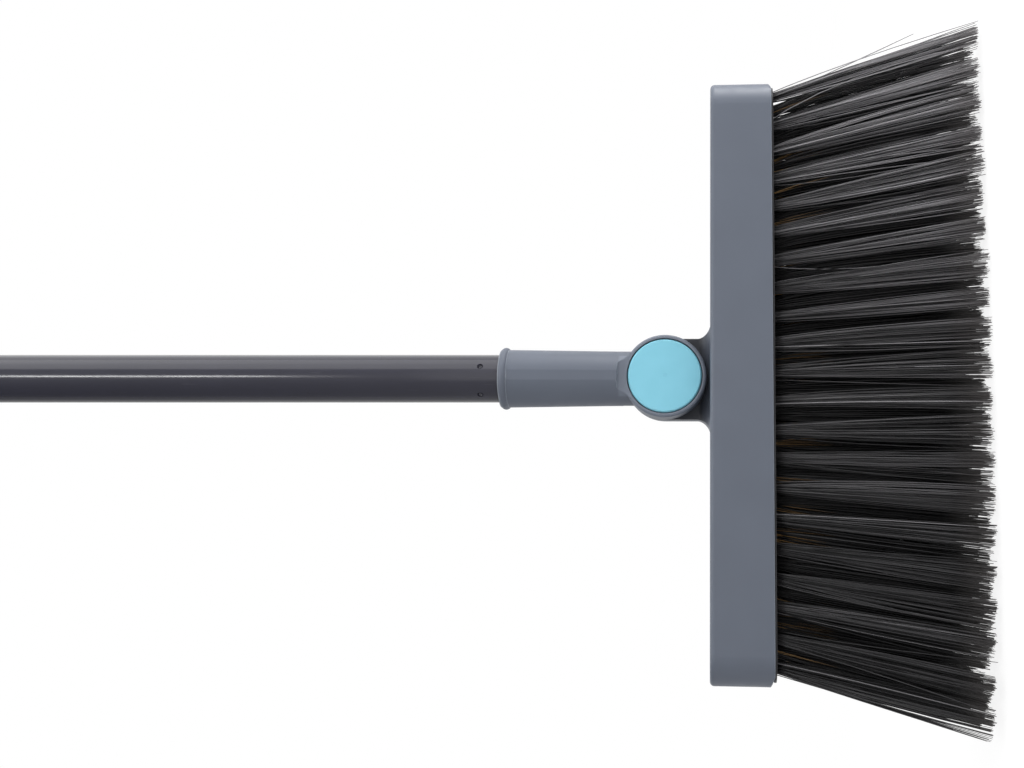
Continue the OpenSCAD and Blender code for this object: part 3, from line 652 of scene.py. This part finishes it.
# %% [markdown]
# ## The button's spring
# A conical wire spring sits under the button and pushes it out. The button goes in by about
# two millimetres, and a stiff solid can't give way to it, so the spring is drawn again here: a curve
# that winds inwards as it nears the button, with a round section. A curve becomes a mesh with the convert
# operator, and edit mode then cleans it.

# %% Wind the spring
WIRE_R = 0.43 * MM
WIRE_ROUNDNESS = 2
COIL_TURNS = 2.5
COIL_STEPS = 32
COIL_R = (13.4 * MM, 8.8 * MM)
WELD = 0.001 * MM
spring_low, spring_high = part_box("button_spring")
COIL_Y = (spring_high[1] - WIRE_R, spring_low[1] + WIRE_R)

bpy.ops.object.select_all(action="DESELECT")
bpy.ops.object.add(type="CURVE", location=(0, 0, 0))
coil = bpy.context.object
coil.name = "button_coil"
wire = coil.data
wire.name = "button_coil"
wire.dimensions = "3D"
wire.bevel_depth = WIRE_R
wire.bevel_resolution = WIRE_ROUNDNESS
wire.use_fill_caps = True
line = wire.splines.new("POLY")
shares = np.linspace(0, 1, int(COIL_TURNS * COIL_STEPS) + 1)
line.points.add(len(shares) - 1)
for point, share in zip(line.points, shares):
    radius = COIL_R[0] + (COIL_R[1] - COIL_R[0]) * share
    turn = 2 * math.pi * COIL_TURNS * share
    y = COIL_Y[0] + (COIL_Y[1] - COIL_Y[0]) * share
    point.co = (radius * math.cos(turn), y, PIVOT.z + radius * math.sin(turn), 1)

bpy.ops.object.convert(target="MESH")
coil = bpy.context.object
bpy.ops.object.mode_set(mode="EDIT")
bpy.ops.mesh.select_all(action="SELECT")
bpy.ops.mesh.remove_doubles(threshold=WELD)
bpy.ops.mesh.normals_make_consistent(inside=False)
bpy.ops.object.mode_set(mode="OBJECT")
bpy.ops.object.shade_smooth()
print("spring of", COIL_TURNS, "turns, with", len(coil.data.polygons), "faces")

# %% [markdown]
# The spring takes the place of the frame's own plain one.

# %% Seat the spring
dress(coil, plated_steel)
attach(coil, "handle")
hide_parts("button_spring")
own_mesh(coil)

# %% [markdown]
# ## One filament
# The bristles are thin plastic filaments, folded over a wire in each hole of the plate. By hand one
# would draw a filament once: a small square, pulled out step by step so that it can bend, and drawn
# in at its tip. That is done here with the edit mode operators.

# %% One filament
FILAMENT_SIDES = 4
FILAMENT_STEPS = 6
TIP_SHARE = 0.55

bpy.ops.object.select_all(action="DESELECT")
bpy.ops.mesh.primitive_circle_add(vertices=FILAMENT_SIDES, radius=1, fill_type="NGON")
filament = bpy.context.object
bpy.ops.object.mode_set(mode="EDIT")
for step in range(FILAMENT_STEPS):
    bpy.ops.mesh.extrude_region_move(TRANSFORM_OT_translate={"value": (0, 0, 1 / FILAMENT_STEPS)})
bpy.ops.transform.resize(value=(TIP_SHARE, TIP_SHARE, 1))
bpy.ops.mesh.select_all(action="SELECT")
bpy.ops.mesh.normals_make_consistent(inside=False)
bpy.ops.object.mode_set(mode="OBJECT")

pattern_points = np.array([v.co for v in filament.data.vertices])
pattern_faces = [list(p.vertices) for p in filament.data.polygons]
bpy.data.objects.remove(filament)
print("one filament has", len(pattern_points), "points and", len(pattern_faces), "faces")

# %% [markdown]
# ## Where the tufts stand
# The plate has five staggered rows of holes. Each tuft leans out from the middle of the plate, more so
# towards the ends, and use has pushed all of them a little towards +X. A lean tuft of the same length
# ends higher, which gives the soft curve along the tips. The tips rise more at the -X end than at the
# +X end, and two trim shares set that.
#
# The two outer rows are painted paler, and paler still towards the +X end, as painted light. The three
# inner ones are painted darker, as painted shade deep in the brush, and swell as soon as they leave the
# plate, so that no light shows between the outer tufts. On the +X side they are combed outwards, and
# the tufts at both ends swell further.

# %% Tufts
ROWS = 5
ROW_PITCH = 8.2 * MM
TUFT_PITCH = 12.85 * MM
LONG_ROW = 21
TRAY_DEPTH = 2 * MM
ROOT_DEPTH = 3.8 * MM
MOUTH_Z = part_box("tuft_plate")[0][2] + TRAY_DEPTH
ROOT_Z = MOUTH_Z + ROOT_DEPTH
END_X = (LONG_ROW - 1) / 2 * TUFT_PITCH
FAN = (27 * MM, 6 * MM)
FAN_SHARE = (1 + FAN[0] / END_X, 1 + FAN[1] / (2 * ROW_PITCH))
LEAN = (3.4 * MM, 0)
SIDE_REACH = 30.5 * MM
TRIM_SHARES = (1.15, 0.55)
ROOT_SPREAD = 2.9 * MM
TIP_SPREAD = {"outer": (7.8 * MM, 7 * MM), "inner": (7.2 * MM, 6.8 * MM)}
BEND_SHARE = {"outer": 0.36, "inner": 0.1}
SWELL = {"outer": 2 * MM, "inner": 9.5 * MM}
END_SWELL = {"outer": np.array((4, 5)) * MM, "inner": np.array((5, 5)) * MM}
COMB = {"outer": 0, "inner": 7 * MM}
# The inner rows' darker tone is painted shade, and the outer rows' paling towards +X is painted light.
TONE_AND_PAINTED_SHADE = {"outer": 0.11, "inner": 0.02}
PAINTED_LIGHT_TO_END = {"outer": 0.054, "inner": 0}
LIT_ROOTS = {"outer": 0, "inner": 0.14}


def tuft_places(row):
    """The middle of each hole in a row."""
    count = LONG_ROW - row % 2
    x = (np.arange(count) - (count - 1) / 2) * TUFT_PITCH
    return np.column_stack([x, np.full(count, (row - (ROWS - 1) / 2) * ROW_PITCH)])


print("tufts:", sum(len(tuft_places(row)) for row in range(ROWS)))

# %% [markdown]
# ## How filaments differ
# The filaments of a tuft don't spread evenly. They cling together in locks, and dark gaps open between
# the locks. So a tuft first gets a few locks, and each filament then joins one of them and follows it,
# a little off its middle. A lock also shares its length, its bow and its shade. A few filaments stray
# on their own, a few are broken short, and a few of the outer ones are painted pale as painted glints.
# Here and there light falls through to a lock's root and shows it brown.
#
# Where three numbers stand together below, they are for the tuft, for a lock and for one filament.
# FOOT_WANDERS has none for the lock, and SHADE_VARIES none for the tuft.

# %% How filaments differ
LOCKS = 11
FILAMENTS = 76
FILAMENT_R = 0.25 * MM
THICK_SPAN = (0.85, 1.1)
STRAY_SHARE = 0.025
STRAY_OUT = 1.5
STRAY_BOW = 3.5 * MM
LOCK_OUT = 0.7
OWN_OUT = 0.4
ROOT_FOLLOWS = 0.55
ROOT_OWN = 0.5
FOOT_WANDERS = (0.8 * MM, 0.35 * MM)
SHORT_BY = (0.7 * MM, 0.7 * MM, 0.4 * MM)
BROKEN_SHARE = 0.03
BROKEN_BY = (2 * MM, 10 * MM)
BOW = (0.8 * MM, 0.6 * MM, 0.25 * MM)
SHADE_VARIES = (0.4, 0.65)
PAINTED_GLINT_SHARE = 0.03
PAINTED_GLINT_GAIN = 0.4
LIT_SPAN = (0.3, 1)

SEED = 41
draw = np.random.default_rng(SEED)


def disc(count):
    """Even random points in a disc of radius 1."""
    turn = draw.uniform(0, 2 * np.pi, count)
    out = np.sqrt(draw.uniform(0, 1, count))
    return np.column_stack([out * np.cos(turn), out * np.sin(turn)])


print("each tuft has", LOCKS, "locks and", FILAMENTS, "filaments")

# %% [markdown]
# ## Lay out the filaments
# A filament is a curve with three points: its root in the hole, its tip, and a control point between
# them that bows it. Thousands of separate operator calls would take hours, so these points are worked
# out with arrays, one tuft at a time. The random numbers start from a fixed seed, so each run grows
# the same broom.

# %% Roots and tips
Tuft = namedtuple("Tuft", "place kind lock stray offset")


def start_tuft(place, kind):
    """Gives each filament a lock to follow, and an offset from the tuft's middle."""
    lock = draw.integers(0, LOCKS, FILAMENTS)
    stray = draw.uniform(0, 1, (FILAMENTS, 1)) < STRAY_SHARE
    alone = STRAY_OUT * disc(FILAMENTS)
    together = LOCK_OUT * disc(LOCKS)[lock] + OWN_OUT * disc(FILAMENTS)
    return Tuft(place, kind, lock, stray, np.where(stray, alone, together))


def tuft_roots(tuft):
    """Where the filaments start, inside their hole."""
    offset = (ROOT_FOLLOWS * tuft.offset + ROOT_OWN * disc(FILAMENTS)) * ROOT_SPREAD
    return np.column_stack([tuft.place + offset, np.full(FILAMENTS, ROOT_Z)])


def tuft_feet(tuft):
    """Where the tips lie, seen from above."""
    foot = tuft.place * FAN_SHARE + LEAN + tuft.offset * TIP_SPREAD[tuft.kind]
    foot += draw.normal(0, FOOT_WANDERS[0], 2) + draw.normal(0, FOOT_WANDERS[1], (FILAMENTS, 2))
    foot[:, 1] = np.clip(foot[:, 1], -SIDE_REACH, SIDE_REACH)
    return foot


def tuft_tips(tuft, root):
    """The tips: a filament ends higher the further it leans aside."""
    foot = tuft_feet(tuft)
    short = draw.uniform(0, SHORT_BY[0]) + np.abs(draw.normal(0, SHORT_BY[1], LOCKS))[tuft.lock]
    short += np.abs(draw.normal(0, SHORT_BY[2], FILAMENTS))
    broken = draw.uniform(0, 1, FILAMENTS) < BROKEN_SHARE
    short += np.where(broken, draw.uniform(*BROKEN_BY, FILAMENTS), 0)
    length = MOUTH_Z - short
    trim_share = TRIM_SHARES[int(tuft.place[0] > 0)]
    aside = trim_share * np.linalg.norm(foot - root[:, :2], axis=1)
    return np.column_stack([foot, MOUTH_Z - np.sqrt(length**2 - aside**2)])


print("ready to place roots and tips")

# %% Bends and shades
def tuft_bends(tuft, root, tip):
    """The control points, which bow each filament and swell the tuft near its root."""
    bow = draw.normal(0, BOW[0], 2) + draw.normal(0, BOW[1], (LOCKS, 2))[tuft.lock]
    bow = bow + draw.normal(0, BOW[2], (FILAMENTS, 2))
    bow = bow + tuft.stray * draw.normal(0, STRAY_BOW, (FILAMENTS, 2))
    at_end = abs(tuft.place[0]) > END_X - TUFT_PITCH / 2
    swell = SWELL[tuft.kind] + END_SWELL[tuft.kind] * at_end
    control = root + (tip - root) * BEND_SHARE[tuft.kind]
    control[:, :2] += tuft.offset * swell + bow
    control[:, 0] += COMB[tuft.kind] * max(tuft.place[0], 0) / END_X
    end_line = END_X + ROOT_SPREAD + FAN[0] * BEND_SHARE[tuft.kind]
    control[:, 0] = np.clip(control[:, 0], -end_line, end_line)
    return control


def tuft_shades(tuft):
    """How pale each filament is, with painted shade on inner rows and painted light towards +X, and how
    brightly its root is lit.
    """
    shade = 1 + draw.normal(0, SHADE_VARIES[0], LOCKS)[tuft.lock]
    shade = shade + draw.normal(0, SHADE_VARIES[1], FILAMENTS)
    # Painted shade and light: inner rows are darker, and outer rows get paler towards +X.
    shade *= TONE_AND_PAINTED_SHADE[tuft.kind] + PAINTED_LIGHT_TO_END[tuft.kind] * tuft.place[0] / END_X
    lit = draw.uniform(0, 1, LOCKS) < LIT_ROOTS[tuft.kind]
    lit_root = np.where(lit, draw.uniform(*LIT_SPAN, LOCKS), 0)[tuft.lock]
    # Painted highlight: a few outer filaments are made pale, as glints.
    if tuft.kind == "outer":
        shade += np.where(draw.uniform(0, 1, FILAMENTS) < PAINTED_GLINT_SHARE, PAINTED_GLINT_GAIN, 0)
    return np.clip(shade, 0, 1), lit_root


print("ready to bend and shade")

# %% All rows
Filaments = namedtuple("Filaments", "root control tip thick shade lit_root")


def tuft_filaments(place, kind):
    """All that one tuft's filaments need."""
    tuft = start_tuft(place, kind)
    root = tuft_roots(tuft)
    tip = tuft_tips(tuft, root)
    control = tuft_bends(tuft, root, tip)
    thick = FILAMENT_R * draw.uniform(*THICK_SPAN, FILAMENTS)
    return Filaments(root, control, tip, thick, *tuft_shades(tuft))


def row_filaments(row):
    """All filaments of a row, stacked."""
    kind = "outer" if row in (0, ROWS - 1) else "inner"
    tufts = [tuft_filaments(place, kind) for place in tuft_places(row)]
    return Filaments(*(np.concatenate(part) for part in zip(*tufts)))


rows = [row_filaments(row) for row in range(ROWS)]
lowest = min(row.tip[:, 2].min() for row in rows)
for row in rows:
    row.tip[:, 2] -= lowest
print("filaments:", sum(len(row.root) for row in rows))

# %% [markdown]
# A broom that has been handled has a filament or two that stand away from the rest. One of them, at
# the +X end of the front row, is easy to see in the picture.

# %% One that stands away
AWAY_BEND = np.array((12, -1, -28)) * MM
AWAY_TIP = np.array((33, -3, -72)) * MM
# The filament that stands away is painted pale: a painted highlight along it.
AWAY_PAINTED_GLINT = 0.8

front = rows[0]
front.control[-1] = front.root[-1] + AWAY_BEND
front.tip[-1] = front.root[-1] + AWAY_TIP
front.shade[-1] = AWAY_PAINTED_GLINT
print("one filament stands away, from", np.round(front.root[-1], 3), "to", np.round(front.tip[-1], 3))

# %% [markdown]
# ## Grow the rows
# The filament that was modelled above is copied along each curve: each of its rings slides to its own
# place from root to tip, and each copy is turned by chance.
#
# Two attributes of the mesh carry what the finish needs. filament_shade says how pale the filament is
# at each point. It grows towards the tip, and more so nearer the +X end: painted light. lit_root says
# how brightly the root is lit.

# %% Grow the rows
PAINTED_TIP_LIGHT = (0.6, 5.6)


def bent_points(row):
    """The points of all filaments of a row, one filament after another."""
    t = pattern_points[:, 2][None, :, None]
    points = (1 - t) ** 2 * row.root[:, None] + 2 * t * (1 - t) * row.control[:, None]
    points = points + t**2 * row.tip[:, None]
    turn = draw.uniform(0, np.pi, len(row.root))[:, None]
    x, y = pattern_points[:, 0][None], pattern_points[:, 1][None]
    points[:, :, 0] += (x * np.cos(turn) - y * np.sin(turn)) * row.thick[:, None]
    points[:, :, 1] += (x * np.sin(turn) + y * np.cos(turn)) * row.thick[:, None]
    return points.reshape(-1, 3)


def grow(name, row):
    """One mesh object that holds all filaments of a row."""
    count, step = len(row.root), len(pattern_points)
    faces = [[i * step + v for v in face[::-1]] for i in range(count) for face in pattern_faces]
    mesh = bpy.data.meshes.new(name)
    mesh.from_pydata(bent_points(row).tolist(), [], faces)
    # Painted light: the shade grows towards the tip, and most towards the +X end.
    gain = PAINTED_TIP_LIGHT[0] + PAINTED_TIP_LIGHT[1] * np.clip(row.root[:, :1] / END_X, 0, None)
    along = np.clip(row.shade[:, None] * (1 + gain * pattern_points[:, 2]), 0, 1)
    attributes = {"filament_shade": along.ravel(), "lit_root": np.repeat(row.lit_root, step)}
    for title, values in attributes.items():
        mesh.attributes.new(title, "FLOAT", "POINT").data.foreach_set("value", values)
    mesh.polygons.foreach_set("use_smooth", [True] * len(faces))
    mesh.update()
    piece = bpy.data.objects.new(name, mesh)
    bpy.context.scene.collection.objects.link(piece)
    return piece


bristles = [grow(f"bristle_tufts_{i + 1}", row) for i, row in enumerate(rows)]
print("grown:", {b.name: len(b.data.polygons) for b in bristles})

# %% [markdown]
# ## Filament finish
# The filaments are dark grey plastic, from nearly black to mid grey, smooth enough to carry a long
# highlight. The shade attribute picks the grey. Lit roots turn brown just below the plate, and the last
# two centimetres above the tips are worn to a dusty grey.

# %% Filament finish
FILAMENT_DARK = (0.002, 0.002, 0.0025)
FILAMENT_PALE = (0.27, 0.262, 0.275)
LIT_BROWN = (0.42, 0.25, 0.1)
LIT_Z = (MOUTH_Z - 30 * MM, MOUTH_Z - 4 * MM)
DUST = (0.13, 0.115, 0.108)
DUST_Z = (1 * MM, 20 * MM)
DUST_SHARE = 0.45
FILAMENT_ROUGH = (0.42, 0.3)
FILAMENT_SPECULAR = 0.3


def own_value(tree, title):
    """The value of a mesh attribute."""
    node = tree.nodes.new("ShaderNodeAttribute")
    node.attribute_name = title
    return node.outputs["Fac"]


def filament_plastic():
    """Dark filaments with brown lit roots and dusty tips."""
    finish, tree, shader, place = start_finish("dark_filament")
    split = tree.nodes.new("ShaderNodeSeparateXYZ")
    tree.links.new(place, split.inputs[0])
    height = split.outputs["Z"]
    shade = own_value(tree, "filament_shade")
    colour = blend_colours(tree, shade, FILAMENT_DARK, FILAMENT_PALE)
    lit = times(tree, own_value(tree, "lit_root"), remap(tree, height, *LIT_Z, 0, 1))
    colour = blend_colours(tree, lit, colour, LIT_BROWN)
    dusty = remap(tree, height, *DUST_Z, DUST_SHARE, 0)
    tree.links.new(blend_colours(tree, dusty, colour, DUST), shader.inputs["Base Color"])
    tree.links.new(remap(tree, shade, 0, 1, *FILAMENT_ROUGH), shader.inputs["Roughness"])
    shader.inputs["Specular IOR Level"].default_value = FILAMENT_SPECULAR
    return finish


dark_filament = filament_plastic()
for i, piece in enumerate(bristles):
    dress(piece, dark_filament)
    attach(piece, "head")
    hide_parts(f"bristle_row_{i + 1}")
print("dressed", len(bristles), "rows of bristles")
